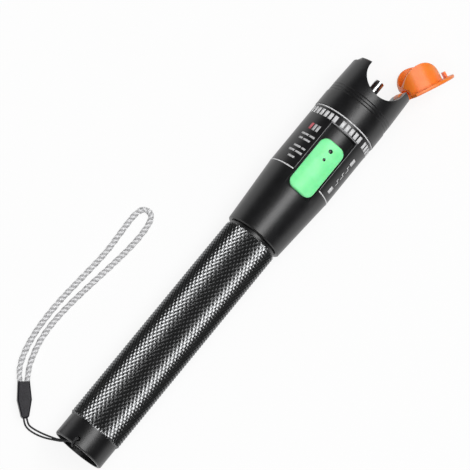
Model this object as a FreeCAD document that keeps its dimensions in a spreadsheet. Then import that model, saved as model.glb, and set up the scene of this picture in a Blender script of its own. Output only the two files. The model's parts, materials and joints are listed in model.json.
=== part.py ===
# A pen-type visual fault locator: a turned aluminium head that holds a laser module and a
# sliding switch, screwed onto a knurled battery tube, with a hinged dust cap over the fibre
# port and a braided wrist strap on its tail.  Lengths are millimetres.  Everything on the pen
# is drawn with the tail end at x = 0, the pen's axis along +X, the button on +Z and the cap's
# hinge on -Y.  At the end the pen is laid on the floor as it comes to rest there: on its
# head, the end of its handle and the rim of the open cap.
import FreeCAD, Part
import math
import os
import re
import Sketcher
from FreeCAD import Placement, Rotation, Vector

os.makedirs("parts", exist_ok=True)
doc = FreeCAD.newDocument("VisualFaultLocator")

# ---------------------------------------------------------------- driving dimensions
DIMENSIONS = [
    # battery tube, which is the handle
    ("tail_len", 8.6, "plain tail end of the battery tube"),
    ("tail_dia", 20.0, "plain tail end, across"),
    ("handle_len", 89.6, "knurled grip"),
    ("handle_dia", 21.0, "over the knurl"),
    ("edge_bevel", 0.4, "bevel on turned edges"),
    ("recess_dia", 17.6, "open recess in the tail"),
    ("recess_depth", 5.5, "open recess in the tail"),
    ("tail_floor", 2.0, "floor between the recess and the cells"),
    ("cell_play", 0.5, "cells in their bore, radial"),
    ("spigot_wall", 1.6, "threaded spigot at the front of the tube"),
    ("spigot_len", 9.0, "threaded spigot at the front of the tube"),
    ("seal_wire", 1.1, "section of the sealing ring"),
    ("seal_groove", 1.0, "depth of the sealing ring's groove"),
    ("seal_play", 0.15, "free width each side of the sealing ring"),
    ("seal_setback", 1.4, "groove from the tube's shoulder"),
    ("lace_hole_dia", 1.8, "hole for the lanyard in the tail's wall"),
    ("lace_hole_setback", 2.3, "hole from the tail's rim"),
    ("lace_hole_side", 3.9, "hole off the pen's middle plane"),
    # cells and contacts
    ("cell_dia", 14.2, "AA cell, across"),
    ("cell_len", 50.5, "AA cell with its button"),
    ("cell_button_dia", 5.4, "positive button of a cell"),
    ("cell_button_len", 1.1, "positive button of a cell"),
    ("cell_rim", 0.5, "rolled edge of a cell"),
    ("spring_wire", 0.7, "wire of the tail spring"),
    ("spring_wide", 11.4, "tail spring at the tube's floor, wire centres"),
    ("spring_narrow", 6.4, "tail spring at the cell, wire centres"),
    ("spring_turns", 4, "turns of the tail spring"),
    ("contact_depth", 14.9, "front contact from the head's rear edge"),
    ("contact_dia", 7.0, "front contact disc"),
    ("contact_thick", 0.4, "front contact disc"),
    ("rivet_dia", 1.6, "rivet of the front contact"),
    ("carrier_floor", 2.5, "floor of the contact carrier"),
    ("carrier_play", 0.05, "carrier to the head's chamber, radial"),
    ("cup_play", 0.7, "carrier's cup to the cell, radial"),
    ("cup_wall", 1.15, "wall of the carrier's cup"),
    # head housing
    ("joint_gap", 0.4, "shadow gap between handle and head"),
    ("cone_wall", 1.8, "wall at the rear edge of the head"),
    ("cone_len", 26.0, "cone of the head"),
    ("band_dia", 25.6, "straight band of the head"),
    ("band_len", 26.6, "straight band of the head"),
    ("bead_proud", 0.2, "bead above the band"),
    ("bead_len", 6.4, "bead in front of the band"),
    ("crown_len", 16.4, "crown, from the bead to the tips"),
    ("crown_dia", 25.6, "crown at the bead"),
    ("tip_dia", 24.8, "crown at the tips"),
    ("thread_play", 0.15, "thread of the head to the spigot, radial"),
    ("thread_runout", 0.7, "head's thread beyond the spigot"),
    ("web_thick", 11.0, "web that carries the laser barrel"),
    ("hollow_dia", 16.4, "hollow of the crown"),
    ("hollow_depth", 12.5, "hollow of the crown from the tips"),
    ("gate_width", 16.6, "opening cut across the crown"),
    ("gate_depth", 9.35, "opening cut across the crown"),
    ("groove_count", 3, "fine grooves round the crown"),
    ("groove_first", 0.9, "first groove from the bead"),
    ("groove_pitch", 1.2, "fine grooves round the crown"),
    ("groove_wide", 0.4, "fine grooves round the crown"),
    ("groove_deep", 0.15, "fine grooves round the crown"),
    ("lip_cut_len", 1.5, "fingernail rebate on the far prong"),
    ("lip_cut_deep", 1.1, "fingernail rebate on the far prong"),
    ("catch_offset", 9.9, "catch from the pen's axis"),
    ("catch_thick", 0.8, "catch of the cap"),
    ("catch_width", 2.8, "catch of the cap"),
    ("catch_len", 2.2, "catch of the cap"),
    ("catch_play", 0.3, "catch in its slot, each side"),
    # slot of the button
    ("slot_setback", 20.0, "button's slot from the head's rear edge"),
    ("slot_rear_play", 0.4, "button to the slot's rear end, switched off"),
    ("slot_front_play", 0.6, "button to the slot's front end, switched on"),
    ("slot_side_play", 4.25, "button to the slot's sides, degrees"),
    ("slot_deep", 1.0, "button's slot below the band"),
    ("slot_corner", 1.3, "corner radius of the slot"),
    ("window_behind", 5.0, "window behind the lever, switched off"),
    ("window_len", 14.4, "window under the button"),
    ("window_width", 6.6, "window under the button"),
    # button and switch
    ("button_len", 22.1, "button"),
    ("button_angle", 45.5, "button round the head, degrees"),
    ("button_proud", 1.1, "button above the band"),
    ("button_play", 0.25, "button over the slot's floor"),
    ("button_corner", 3.0, "corner radius of the button"),
    ("button_edge", 0.7, "rounding of the button's top edge"),
    ("dot_big", 1.6, "front dimple in the button"),
    ("dot_small", 1.2, "second dimple in the button"),
    ("dot_depth", 0.8, "depth of the dimples"),
    ("dot_big_setback", 3.5, "front dimple from the button's front end"),
    ("dot_small_setback", 7.3, "second dimple from the button's front end"),
    ("stem_len", 3.0, "stem under the button, along the pen"),
    ("stem_width", 3.2, "stem under the button"),
    ("stem_play", 0.4, "stem over the switch"),
    ("lever_size", 1.5, "lever of the switch, square"),
    ("lever_play", 0.05, "lever in the stem"),
    ("lever_grip", 1.5, "lever inside the stem"),
    ("travel", 4.5, "button's travel"),
    ("switch_len", 11.2, "slide switch"),
    ("switch_width", 5.8, "slide switch"),
    ("switch_high", 3.6, "slide switch above the board"),
    ("switch_well", 2.0, "depth of the lever's slot"),
    # circuit board
    ("board_play", 0.6, "board over the laser barrel"),
    ("board_thick", 1.2, "board"),
    ("board_side_play", 0.52495, "upper corners of the board to the chamber's wall"),
    ("board_seat", 1.8, "board in the carrier's slot"),
    ("board_gap", 0.5, "board to the barrel's flange"),
    ("chip_len", 4.9, "driver chip"),
    ("chip_width", 3.9, "driver chip"),
    ("chip_high", 1.5, "driver chip"),
    # laser barrel and fibre port
    ("barrel_dia", 9.4, "laser barrel"),
    ("barrel_play", 0.04, "barrel in the web, radial"),
    ("barrel_behind", 12.0, "barrel behind the web"),
    ("barrel_proud", 2.2, "barrel in front of the web"),
    ("flange_dia", 12.0, "flange of the barrel"),
    ("flange_thick", 1.6, "flange of the barrel"),
    ("nut_dia", 13.0, "ring nut that clamps the barrel"),
    ("nut_thick", 2.0, "ring nut that clamps the barrel"),
    ("nut_slot", 1.4, "spanner slots of the ring nut"),
    ("diode_bore", 5.7, "seat of the laser diode"),
    ("diode_dia", 5.6, "flange of the laser diode"),
    ("diode_flange", 1.2, "flange of the laser diode"),
    ("diode_seat", 2.8, "diode's seat from the barrel's rear"),
    ("can_dia", 3.8, "can of the laser diode"),
    ("can_len", 2.1, "can of the laser diode"),
    ("pin_wire", 0.45, "legs of the laser diode"),
    ("pin_circle", 2.54, "legs of the laser diode, circle"),
    ("pin_len", 6.0, "legs of the laser diode"),
    ("retainer_len", 1.3, "ring that holds the diode"),
    ("lens_bore", 7.2, "bore for the lens cell"),
    ("lens_bore_start", 5.2, "lens bore from the barrel's rear"),
    ("cell_ring_len", 4.5, "lens cell"),
    ("cell_ring_setback", 2.6, "lens cell from the step"),
    ("lens_dia", 5.0, "focusing lens"),
    ("lens_radius", 4.5, "focusing lens, curvature"),
    ("lens_thick", 2.2, "focusing lens"),
    ("slip", 0.05, "slip fit inside the barrel, radial"),
    ("port_dia", 3.7, "ferrule port tube"),
    ("port_setback", 1.5, "port's mouth below the crown's tips"),
    ("port_bore", 2.52, "bore for a 2.5 mm ferrule"),
    ("port_bore_len", 11.0, "bore for a 2.5 mm ferrule"),
    ("port_base_len", 8.2, "threaded base of the port tube"),
    ("aperture_dia", 1.0, "light path behind the ferrule"),
    # dust cap and its hinge
    ("hinge_drop", 0.9, "hinge pin below the tips"),
    ("hinge_offset", 9.2, "hinge pin from the pen's axis"),
    ("hinge_pin_dia", 1.0, "hinge pin"),
    ("hinge_press", 0.02, "pin in the prong, radial"),
    ("hinge_run", 0.05, "pin in the cap, radial"),
    ("hinge_pin_top", 7.0, "top of the hinge pin above the middle plane"),
    ("hinge_pin_low", 8.0, "low end of the hinge pin"),
    ("knuckle_dia", 3.0, "knuckle of the cap"),
    ("knuckle_width", 5.6, "knuckle of the cap"),
    ("knuckle_play", 0.2, "knuckle in the prong, each side"),
    ("knuckle_slot", 2.8, "depth of the knuckle's slot"),
    ("lid_thick", 1.15, "plate of the cap"),
    ("lid_gap", 0.05, "plate over the tips when closed"),
    ("lid_edge", 2.7, "plate's straight edge from the pin"),
    ("lid_round", 0.35, "rounding of the plate's rim"),
    ("skirt_dia", 16.0, "skirt of the cap"),
    ("skirt_wall", 0.9, "skirt of the cap"),
    ("skirt_side", 1.3, "skirt beside the lobes"),
    ("lobe_radius", 7.7, "lobes that fill the crown's openings"),
    ("relief_dia", 5.8, "relief in the skirt round the hinge"),
    ("cap_open", 112.8, "cap's opening angle, degrees"),
    # lanyard
    ("lace_dia", 0.7, "black lanyard cord"),
    ("strap_dia", 2.1, "braided wrist strap"),
    ("clasp_len", 13.0, "clasp"),
    ("clasp_tail", 2.6, "clasp at the cord's end"),
    ("clasp_belly", 5.2, "clasp at its widest"),
    ("clasp_head", 4.3, "clasp at the strap's end"),
    ("clasp_thick", 3.8, "clasp"),
    ("clasp_round", 0.6, "rounding of the clasp's edges"),
    ("clasp_turn", 41.6, "clasp's direction on the floor, degrees"),
]

sheet = doc.addObject("Spreadsheet::Sheet", "Dims")
for row, (alias, value, note) in enumerate(DIMENSIONS, start=1):
    sheet.set(f"A{row}", note)
    sheet.set(f"B{row}", str(value))
    sheet.setAlias(f"B{row}", alias)
doc.recompute()

# ------------------------------------- sizes of what fits, and stations along the pen
STATIONS = [
    ("cell_bore", "cell_dia + 2 * cell_play"),
    ("spigot_dia", "cell_bore + 2 * spigot_wall"),
    ("cone_dia", "spigot_dia + 2 * (thread_play + cone_wall)"),
    ("chamber_dia", "cell_dia + 2 * (cup_play + cup_wall + carrier_play)"),
    ("bead_dia", "band_dia + 2 * bead_proud"),
    ("slot_floor_dia", "band_dia - 2 * slot_deep"),
    ("slot_angle", "button_angle + 2 * slot_side_play"),
    ("button_top_dia", "band_dia + 2 * button_proud"),
    ("cells_at", "recess_depth + tail_floor"),
    ("shoulder", "tail_len + handle_len"),
    ("spigot_end", "shoulder + spigot_len"),
    ("head_rear", "shoulder + joint_gap"),
    ("band_at", "head_rear + cone_len"),
    ("bead_at", "band_at + band_len"),
    ("crown_at", "bead_at + bead_len"),
    ("tips", "crown_at + crown_len"),
    ("chamber_rear", "spigot_end + thread_runout"),
    ("hollow_floor", "tips - hollow_depth"),
    ("web_rear", "hollow_floor - web_thick"),
    ("contact_at", "head_rear + contact_depth"),
    ("cell_front_at", "contact_at - cell_len"),
    ("cell_rear_at", "contact_at - 2 * cell_len"),
    ("carrier_front", "contact_at + contact_thick + carrier_floor"),
    ("board_rear", "carrier_front - board_seat"),
    ("board_front", "web_rear - flange_thick - board_gap"),
    ("board_low", "barrel_dia / 2 + board_play"),
    ("board_top", "board_low + board_thick"),
    ("board_width", "2 * (sqrt((chamber_dia / 2) ^ 2 - board_top ^ 2) - board_side_play)"),
    ("stem_low", "board_top + switch_high + stem_play"),
    ("lever_top", "stem_low + lever_grip"),
    ("slot_rear", "head_rear + slot_setback"),
    ("button_rear", "slot_rear + slot_rear_play"),
    ("button_front", "button_rear + button_len"),
    ("slot_front", "button_front + travel + slot_front_play"),
    ("lever_at", "button_rear + button_len / 2"),
    ("barrel_rear", "web_rear - barrel_behind"),
    ("barrel_front", "hollow_floor + barrel_proud"),
    ("diode_face", "barrel_rear + diode_seat"),
    ("lens_step", "barrel_rear + lens_bore_start"),
    ("lens_cell_rear", "lens_step + cell_ring_setback"),
    ("lens_cell_front", "lens_cell_rear + cell_ring_len"),
    ("lens_middle", "lens_cell_rear + cell_ring_len / 2"),
    ("port_mouth", "tips - port_setback"),
    ("port_base", "barrel_front - port_base_len"),
    ("gate_centre", "tips - gate_depth + gate_width / 2"),
    ("hinge_at", "tips - hinge_drop"),
    ("lid_under", "tips + lid_gap"),
    ("lid_top", "lid_under + lid_thick"),
    ("lobe_centre", "lid_under - skirt_side"),
]

stations = doc.addObject("App::VarSet", "Stations")
NAMES = {alias: "Dims." + alias for alias, value, note in DIMENSIONS}
NAMES.update({name: "Stations." + name for name, rule in STATIONS})


def tied(rule):
    """The rule as an expression of the document: each name becomes its cell or station."""
    return re.sub(r"[a-z]\w*", lambda word: NAMES.get(word.group(0), word.group(0)), rule)


for name, rule in STATIONS:
    stations.addProperty("App::PropertyFloat", name)
    stations.setExpression(name, tied(rule))
    doc.recompute()


def size(rule):
    """The number that a rule stands for now."""
    return float(stations.evalExpression(tied(rule)))


# ---------------------------------------------------------------- ways of making a piece
pen_pieces = []
floor_pieces = []


def keep(piece, label, laid_out=False):
    """Name a finished piece, and say whether it lies on the floor or is part of the pen."""
    piece.Label = label
    (floor_pieces if laid_out else pen_pieces).append(piece)
    return piece


def body(name):
    return doc.addObject("PartDesign::Body", name)


def sketch(owner, name, plane="XY_Plane", raised=None):
    """An empty sketch on one of the body's own origin planes, raised off it if asked."""
    drawn = owner.newObject("Sketcher::SketchObject", name)
    origin_plane = [item for item in owner.Origin.OriginFeatures if item.Role == plane]
    drawn.AttachmentSupport = [(origin_plane[0], "")]
    drawn.MapMode = "FlatFace"
    if raised:
        drawn.setExpression("AttachmentOffset.Base.z", tied(raised))
    return drawn


def fix(drawn, edge, end, x_rule, y_rule):
    """Tie one end of an edge to the sketch's axes by the two rules."""
    for kind, axis, rule in (("DistanceX", -2, x_rule), ("DistanceY", -1, y_rule)):
        if rule == "0":
            drawn.addConstraint(Sketcher.Constraint("PointOnObject", edge, end, axis))
        else:
            value = size(rule)
            index = drawn.addConstraint(Sketcher.Constraint(kind, -1, 1, edge, end, value))
            drawn.setExpression(f"Constraints[{index}]", tied(rule))


def polygon(drawn, corners):
    """A closed outline through corners, each a pair of rules for x and y."""
    points = [Vector(size(x_rule), size(y_rule), 0) for x_rule, y_rule in corners]
    count = len(corners)
    first = drawn.GeometryCount
    for i in range(count):
        drawn.addGeometry(Part.LineSegment(points[i], points[(i + 1) % count]), False)
    for i in range(count):
        after = first + (i + 1) % count
        drawn.addConstraint(Sketcher.Constraint("Coincident", first + i, 2, after, 1))
    for i, (x_rule, y_rule) in enumerate(corners):
        fix(drawn, first + i, 1, x_rule, y_rule)
    return drawn


def circle(drawn, x_rule, y_rule, radius_rule):
    middle = Vector(size(x_rule), size(y_rule), 0)
    edge = drawn.addGeometry(Part.Circle(middle, Vector(0, 0, 1), size(radius_rule)), False)
    fix(drawn, edge, 3, x_rule, y_rule)
    index = drawn.addConstraint(Sketcher.Constraint("Radius", edge, size(radius_rule)))
    drawn.setExpression(f"Constraints[{index}]", tied(radius_rule))
    return drawn


def turned(owner, name, corners, kind="Revolution"):
    """Turn a half section round the pen's axis; corners are rules for x and radius."""
    drawn = polygon(sketch(owner, name + "Section"), corners)
    feature = owner.newObject("PartDesign::" + kind, name)
    feature.Profile = drawn
    feature.ReferenceAxis = (drawn, ["H_Axis"])
    feature.Angle = 360
    return feature


def pad(owner, name, drawn, length_rule, symmetric=False):
    feature = owner.newObject("PartDesign::Pad", name)
    feature.Profile = drawn
    feature.SideType = "Symmetric" if symmetric else "One side"
    feature.setExpression("Length", tied(length_rule))
    return feature


def pocket(owner, name, drawn, length_rule=None, symmetric=True, upwards=False):
    """Cut the sketch through everything, or over a length."""
    feature = owner.newObject("PartDesign::Pocket", name)
    feature.Profile = drawn
    feature.SideType = "Symmetric" if symmetric else "One side"
    feature.Reversed = upwards
    if length_rule:
        feature.setExpression("Length", tied(length_rule))
    else:
        feature.Type = "ThroughAll"
    return feature


def rectangle(x_low, x_high, y_low, y_high):
    return [(x_low, y_low), (x_high, y_low), (x_high, y_high), (x_low, y_high)]


def edges_of(feature, test):
    """Names of the feature's edges that pass the test."""
    doc.recompute()
    return [f"Edge{i}" for i, edge in enumerate(feature.Shape.Edges, start=1) if test(edge)]


def rounded(owner, name, base, edges, radius_rule):
    feature = owner.newObject("PartDesign::Fillet", name)
    feature.Base = (base, edges)
    feature.setExpression("Radius", tied(radius_rule))
    return feature


def block(name, low, high):
    """A box between two corners, each given as three rules."""
    made = doc.addObject("Part::Box", name)
    for side, axis, start, end in zip(("Length", "Width", "Height"), "xyz", low, high):
        made.setExpression(side, tied(f"({end}) - ({start})"))
        made.setExpression(f"Placement.Base.{axis}", tied(start))
    return made


def rod(name, start, end, radius_rule, y_rule="0", z_rule="0"):
    """A round bar along the pen, from one station to another."""
    made = doc.addObject("Part::Cylinder", name)
    made.Placement = Placement(Vector(), Rotation(Vector(0, 1, 0), 90))
    made.setExpression("Radius", tied(radius_rule))
    made.setExpression("Height", tied(f"({end}) - ({start})"))
    for axis, rule in zip("xyz", (start, y_rule, z_rule)):
        made.setExpression(f"Placement.Base.{axis}", tied(rule))
    return made


def joined(name, pieces):
    made = doc.addObject("Part::MultiFuse", name)
    made.Shapes = pieces
    return made


def less(name, base, tool):
    made = doc.addObject("Part::Cut", name)
    made.Base = base
    made.Tool = tool
    return made


# ---------------------------------------------------------------- battery tube
# One turned bar: a plain recessed tail with a lanyard hole, the knurled grip, and a spigot
# with a sealing groove that screws into the head.
tube = keep(body("BatteryTube"), "battery_tube")
groove_end = "shoulder + seal_setback + seal_wire + 2 * seal_play"
groove_floor = "spigot_dia / 2 - seal_groove"
turned(tube, "TubeTurning", [
    ("0", "recess_dia / 2"),
    ("0", "tail_dia / 2 - edge_bevel"),
    ("edge_bevel", "tail_dia / 2"),
    ("tail_len", "tail_dia / 2"),
    ("tail_len", "handle_dia / 2 - edge_bevel"),
    ("tail_len + edge_bevel", "handle_dia / 2"),
    ("shoulder - edge_bevel", "handle_dia / 2"),
    ("shoulder", "handle_dia / 2 - edge_bevel"),
    ("shoulder", "spigot_dia / 2"),
    ("shoulder + seal_setback", "spigot_dia / 2"),
    ("shoulder + seal_setback", groove_floor),
    (groove_end, groove_floor),
    (groove_end, "spigot_dia / 2"),
    ("spigot_end - edge_bevel", "spigot_dia / 2"),
    ("spigot_end", "spigot_dia / 2 - edge_bevel"),
    ("spigot_end", "cell_bore / 2"),
    ("cells_at", "cell_bore / 2"),
    ("cells_at", "0"),
    ("recess_depth", "0"),
    ("recess_depth", "recess_dia / 2"),
])
lace_hole = circle(sketch(tube, "LaceHoleCircle"), "lace_hole_setback", "lace_hole_side",
                   "lace_hole_dia / 2")
pocket(tube, "LaceHole", lace_hole, symmetric=False, upwards=True)

seal = keep(body("SealRing"), "seal_ring")
seal_section = circle(sketch(seal, "SealSection"),
                      "shoulder + seal_setback + seal_play + seal_wire / 2",
                      "spigot_dia / 2 - seal_groove + seal_wire / 2", "seal_wire / 2")
seal_turning = seal.newObject("PartDesign::Revolution", "SealTurning")
seal_turning.Profile = seal_section
seal_turning.ReferenceAxis = (seal_section, ["H_Axis"])
seal_turning.Angle = 360

# ---------------------------------------------------------------- cells, spring, contact
def add_cell(name, label, start):
    """A sealed AA cell: a can with rolled edges and a positive button towards the head."""
    cell = keep(body(name), label)
    turned(cell, name + "Can", [
        (start, "0"),
        (start, "cell_dia / 2 - cell_rim"),
        (start + " + cell_rim", "cell_dia / 2"),
        (start + " + cell_len - cell_button_len - cell_rim", "cell_dia / 2"),
        (start + " + cell_len - cell_button_len", "cell_dia / 2 - cell_rim"),
        (start + " + cell_len - cell_button_len", "cell_button_dia / 2"),
        (start + " + cell_len", "cell_button_dia / 2"),
        (start + " + cell_len", "0"),
    ])


add_cell("CellRear", "cell_rear", "cell_rear_at")
add_cell("CellFront", "cell_front", "cell_front_at")

# A conical spring, wide on the tube's floor and narrow on the cell's end.
spring = keep(body("TailSpring"), "tail_spring")
spring_wire = circle(sketch(spring, "SpringWire"), "cells_at + spring_wire / 2",
                     "spring_wide / 2", "spring_wire / 2")
coil = spring.newObject("PartDesign::AdditiveHelix", "SpringCoil")
coil.Profile = spring_wire
coil.ReferenceAxis = (spring_wire, ["H_Axis"])
coil.Mode = "height-turns-growth"
coil.setExpression("Height", tied("cell_rear_at - cells_at - spring_wire"))
coil.setExpression("Turns", tied("spring_turns"))
coil.setExpression("Growth", tied("(spring_narrow - spring_wide) / 2 / spring_turns"))

contact_disc = rod("ContactDisc", "contact_at", "contact_at + contact_thick", "contact_dia / 2")
contact_rivet = rod("ContactRivet", "contact_at + contact_thick / 2",
                    "carrier_front + contact_thick", "rivet_dia / 2")
keep(joined("FrontContact", [contact_disc, contact_rivet]), "front_contact")

# Black plastic cup that centres the front cell and holds the board's rear end in a slot.
carrier = keep(body("ContactCarrier"), "contact_carrier")
turned(carrier, "CarrierTurning", [
    ("chamber_rear", "cell_dia / 2 + cup_play"),
    ("chamber_rear", "chamber_dia / 2 - carrier_play"),
    ("carrier_front", "chamber_dia / 2 - carrier_play"),
    ("carrier_front", "rivet_dia / 2 + slip"),
    ("contact_at + contact_thick", "rivet_dia / 2 + slip"),
    ("contact_at + contact_thick", "cell_dia / 2 + cup_play"),
])
board_slot = polygon(sketch(carrier, "BoardSlotOutline", raised="board_top + slip"),
                     rectangle("board_rear - slip", "carrier_front + 1",
                               "-board_width / 2 - slip", "board_width / 2 + slip"))
pocket(carrier, "BoardSlot", board_slot, "board_thick + 2 * slip", symmetric=False)

# ---------------------------------------------------------------- head housing
# Turned from one bar: cone, straight band, bead and crown outside; thread, chamber, web and
# hollow inside.  Then the crown is milled across, which leaves two prongs.
head = keep(body("HeadHousing"), "head_housing")
outline = [
    ("head_rear", "spigot_dia / 2 + thread_play"),
    ("head_rear", "cone_dia / 2 - edge_bevel"),
    ("head_rear + edge_bevel", "cone_dia / 2"),
    ("band_at", "band_dia / 2"),
    ("bead_at", "band_dia / 2"),
    ("bead_at", "bead_dia / 2"),
    ("crown_at", "bead_dia / 2"),
    ("crown_at", "crown_dia / 2"),
]
for i in range(int(size("groove_count"))):
    groove_at = f"crown_at + groove_first + {i} * groove_pitch"
    outline += [
        (groove_at, "crown_dia / 2"),
        (groove_at + " + groove_wide / 2", "crown_dia / 2 - groove_deep"),
        (groove_at + " + groove_wide", "crown_dia / 2"),
    ]
outline += [
    ("crown_at + groove_first + groove_count * groove_pitch", "crown_dia / 2"),
    ("tips - edge_bevel", "tip_dia / 2"),
    ("tips", "tip_dia / 2 - edge_bevel"),
    ("tips", "hollow_dia / 2"),
    ("hollow_floor", "hollow_dia / 2"),
    ("hollow_floor", "barrel_dia / 2"),
    ("web_rear", "barrel_dia / 2"),
    ("web_rear", "chamber_dia / 2"),
    ("chamber_rear", "chamber_dia / 2"),
    ("chamber_rear", "spigot_dia / 2 + thread_play"),
]
turned(head, "HeadTurning", outline)

# The opening across the crown: straight sides that end in a half round.
gate = sketch(head, "GateOutline")
half_gate = size("gate_width / 2")
past_tips = size("tips + 2")
gate_corner = [Vector(size("gate_centre"), side * half_gate, 0) for side in (-1, 1)]
gate_end = [Vector(past_tips, side * half_gate, 0) for side in (-1, 1)]
gate_bottom = Vector(size("gate_centre - gate_width / 2"), 0, 0)
gate.addGeometry(Part.LineSegment(gate_corner[0], gate_end[0]), False)
gate.addGeometry(Part.LineSegment(gate_end[0], gate_end[1]), False)
gate.addGeometry(Part.LineSegment(gate_end[1], gate_corner[1]), False)
gate.addGeometry(Part.Arc(gate_corner[1], gate_bottom, gate_corner[0]), False)
for edge in range(4):
    gate.addConstraint(Sketcher.Constraint("Coincident", edge, 2, (edge + 1) % 4, 1))
fix(gate, 0, 1, "gate_centre", "-gate_width / 2")
fix(gate, 2, 2, "gate_centre", "gate_width / 2")
fix(gate, 0, 2, "tips + 2", "-gate_width / 2")
fix(gate, 1, 2, "tips + 2", "gate_width / 2")
centred = Sketcher.Constraint("DistanceX", -1, 1, 3, 3, size("gate_centre"))
index = gate.addConstraint(centred)
gate.setExpression(f"Constraints[{index}]", tied("gate_centre"))
pocket(head, "Gate", gate)

# Near prong: slot for the cap's knuckle and the pin's hole, blind on the button's side.
knuckle_slot = polygon(sketch(head, "KnuckleSlotOutline"),
                       rectangle("tips - knuckle_slot", "tips + 1", "-tip_dia / 2 - 1",
                                 "1 - gate_width / 2"))
pocket(head, "KnuckleSlot", knuckle_slot, "knuckle_width + 2 * knuckle_play")
pin_hole = circle(sketch(head, "PinHoleCircle", raised="hinge_pin_top + knuckle_play"),
                  "hinge_at", "-hinge_offset", "hinge_pin_dia / 2 + hinge_press")
pocket(head, "PinHole", pin_hole, symmetric=False)

# Far prong: rebate for a fingernail under the lid, and the slot that the catch snaps into.
rebate = polygon(sketch(head, "RebateOutline"),
                 rectangle("tips - lip_cut_len", "tips + 1", "tip_dia / 2 - lip_cut_deep",
                           "tip_dia / 2 + 1"))
pocket(head, "Rebate", rebate)
catch_slot = polygon(sketch(head, "CatchSlotOutline"),
                     rectangle("lid_under - catch_len - catch_play", "tips + 1",
                               "catch_offset - catch_thick / 2 - catch_play",
                               "catch_offset + catch_thick / 2 + catch_play"))
pocket(head, "CatchSlot", catch_slot, "catch_width + 2 * catch_play")

# The button's slot: a pocket whose floor follows the round of the head, with a window for
# the stem in it.
slot_section = polygon(sketch(head, "SlotSection", plane="XZ_Plane"),
                       rectangle("slot_rear", "slot_front", "slot_floor_dia / 2",
                                 "band_dia / 2 + 1"))
slot = head.newObject("PartDesign::Groove", "ButtonSlot")
slot.Profile = slot_section
slot.ReferenceAxis = (slot_section, ["H_Axis"])
slot.Midplane = True
slot.setExpression("Angle", tied("slot_angle"))
window = polygon(sketch(head, "WindowOutline", raised="board_low"),
                 rectangle("lever_at - window_behind", "lever_at - window_behind + window_len",
                           "-window_width / 2", "window_width / 2"))
window_cut = pocket(head, "StemWindow", window, symmetric=False, upwards=True)


def is_slot_corner(edge):
    """A radial edge at one of the slot's four corners."""
    low, high = size("slot_floor_dia / 2 - 0.1"), size("band_dia / 2 + 0.1")
    ends = [vertex.Point for vertex in edge.Vertexes]
    if len(ends) != 2 or abs(ends[0].x - ends[1].x) > 0.3:
        return False
    radii = sorted(math.hypot(end.y, end.z) for end in ends)
    angles = [math.degrees(math.atan2(end.y, end.z)) for end in ends]
    at_side = all(abs(abs(angle) - size("slot_angle / 2")) < 0.01 for angle in angles)
    return at_side and low < radii[0] and radii[1] < high and radii[1] - radii[0] > 0.2


rounded(head, "SlotCorners", window_cut, edges_of(window_cut, is_slot_corner), "slot_corner")

# ---------------------------------------------------------------- button and slide switch
# A moulded slider, round with the head, with a stem that takes the switch's lever.
button = keep(body("SwitchButton"), "switch_button")
button_section = polygon(sketch(button, "ButtonSection", plane="XZ_Plane"),
                         rectangle("button_rear", "button_front",
                                   "slot_floor_dia / 2 + button_play", "button_top_dia / 2"))
button_round = button.newObject("PartDesign::Revolution", "ButtonRound")
button_round.Profile = button_section
button_round.ReferenceAxis = (button_section, ["H_Axis"])
button_round.Midplane = True
button_round.setExpression("Angle", tied("button_angle"))


def is_button_corner(edge):
    ends = [vertex.Point for vertex in edge.Vertexes]
    return len(ends) == 2 and abs(ends[0].x - ends[1].x) < 0.01 and edge.Curve.TypeId.endswith(
        "Line")


button_corners = rounded(button, "ButtonCorners", button_round,
                         edges_of(button_round, is_button_corner), "button_corner")


def is_button_rim(edge):
    """An edge of the button's top face."""
    top = size("button_top_dia / 2")
    middle = edge.valueAt((edge.FirstParameter + edge.LastParameter) / 2)
    spots = [vertex.Point for vertex in edge.Vertexes] + [middle]
    return all(abs(math.hypot(spot.y, spot.z) - top) < 0.05 for spot in spots)


button_rim = rounded(button, "ButtonRim", button_corners,
                     edges_of(button_corners, is_button_rim), "button_edge")
for name, place, wide in (("DotBig", "button_front - dot_big_setback", "dot_big / 2"),
                          ("DotSmall", "button_front - dot_small_setback", "dot_small / 2")):
    dot = circle(sketch(button, name + "Circle", raised="button_top_dia / 2 + 1"), place, "0",
                 wide)
    pocket(button, name, dot, "1 + dot_depth", symmetric=False)
stem = polygon(sketch(button, "StemOutline", raised="stem_low"),
               rectangle("lever_at - stem_len / 2", "lever_at + stem_len / 2",
                         "-stem_width / 2", "stem_width / 2"))
pad(button, "Stem", stem, "slot_floor_dia / 2 + button_play + 0.3 - stem_low")
socket = polygon(sketch(button, "SocketOutline", raised="lever_top + lever_play"),
                 rectangle("lever_at - lever_size / 2 - lever_play",
                           "lever_at + lever_size / 2 + lever_play",
                           "-lever_size / 2 - lever_play", "lever_size / 2 + lever_play"))
pocket(button, "LeverSocket", socket, "lever_top - stem_low + 1", symmetric=False)

lever_box = block("LeverPost",
                  ("lever_at - lever_size / 2", "-lever_size / 2",
                   "board_top + switch_high - switch_well + slip"),
                  ("lever_at + lever_size / 2", "lever_size / 2", "lever_top"))
lever_foot = block("LeverFoot",
                   ("lever_at - lever_size", "-lever_size",
                    "board_top + switch_high - switch_well + slip"),
                   ("lever_at + lever_size", "lever_size",
                    "board_top + switch_high - switch_well / 2"))
keep(joined("SwitchLever", [lever_box, lever_foot]), "switch_lever")

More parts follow.
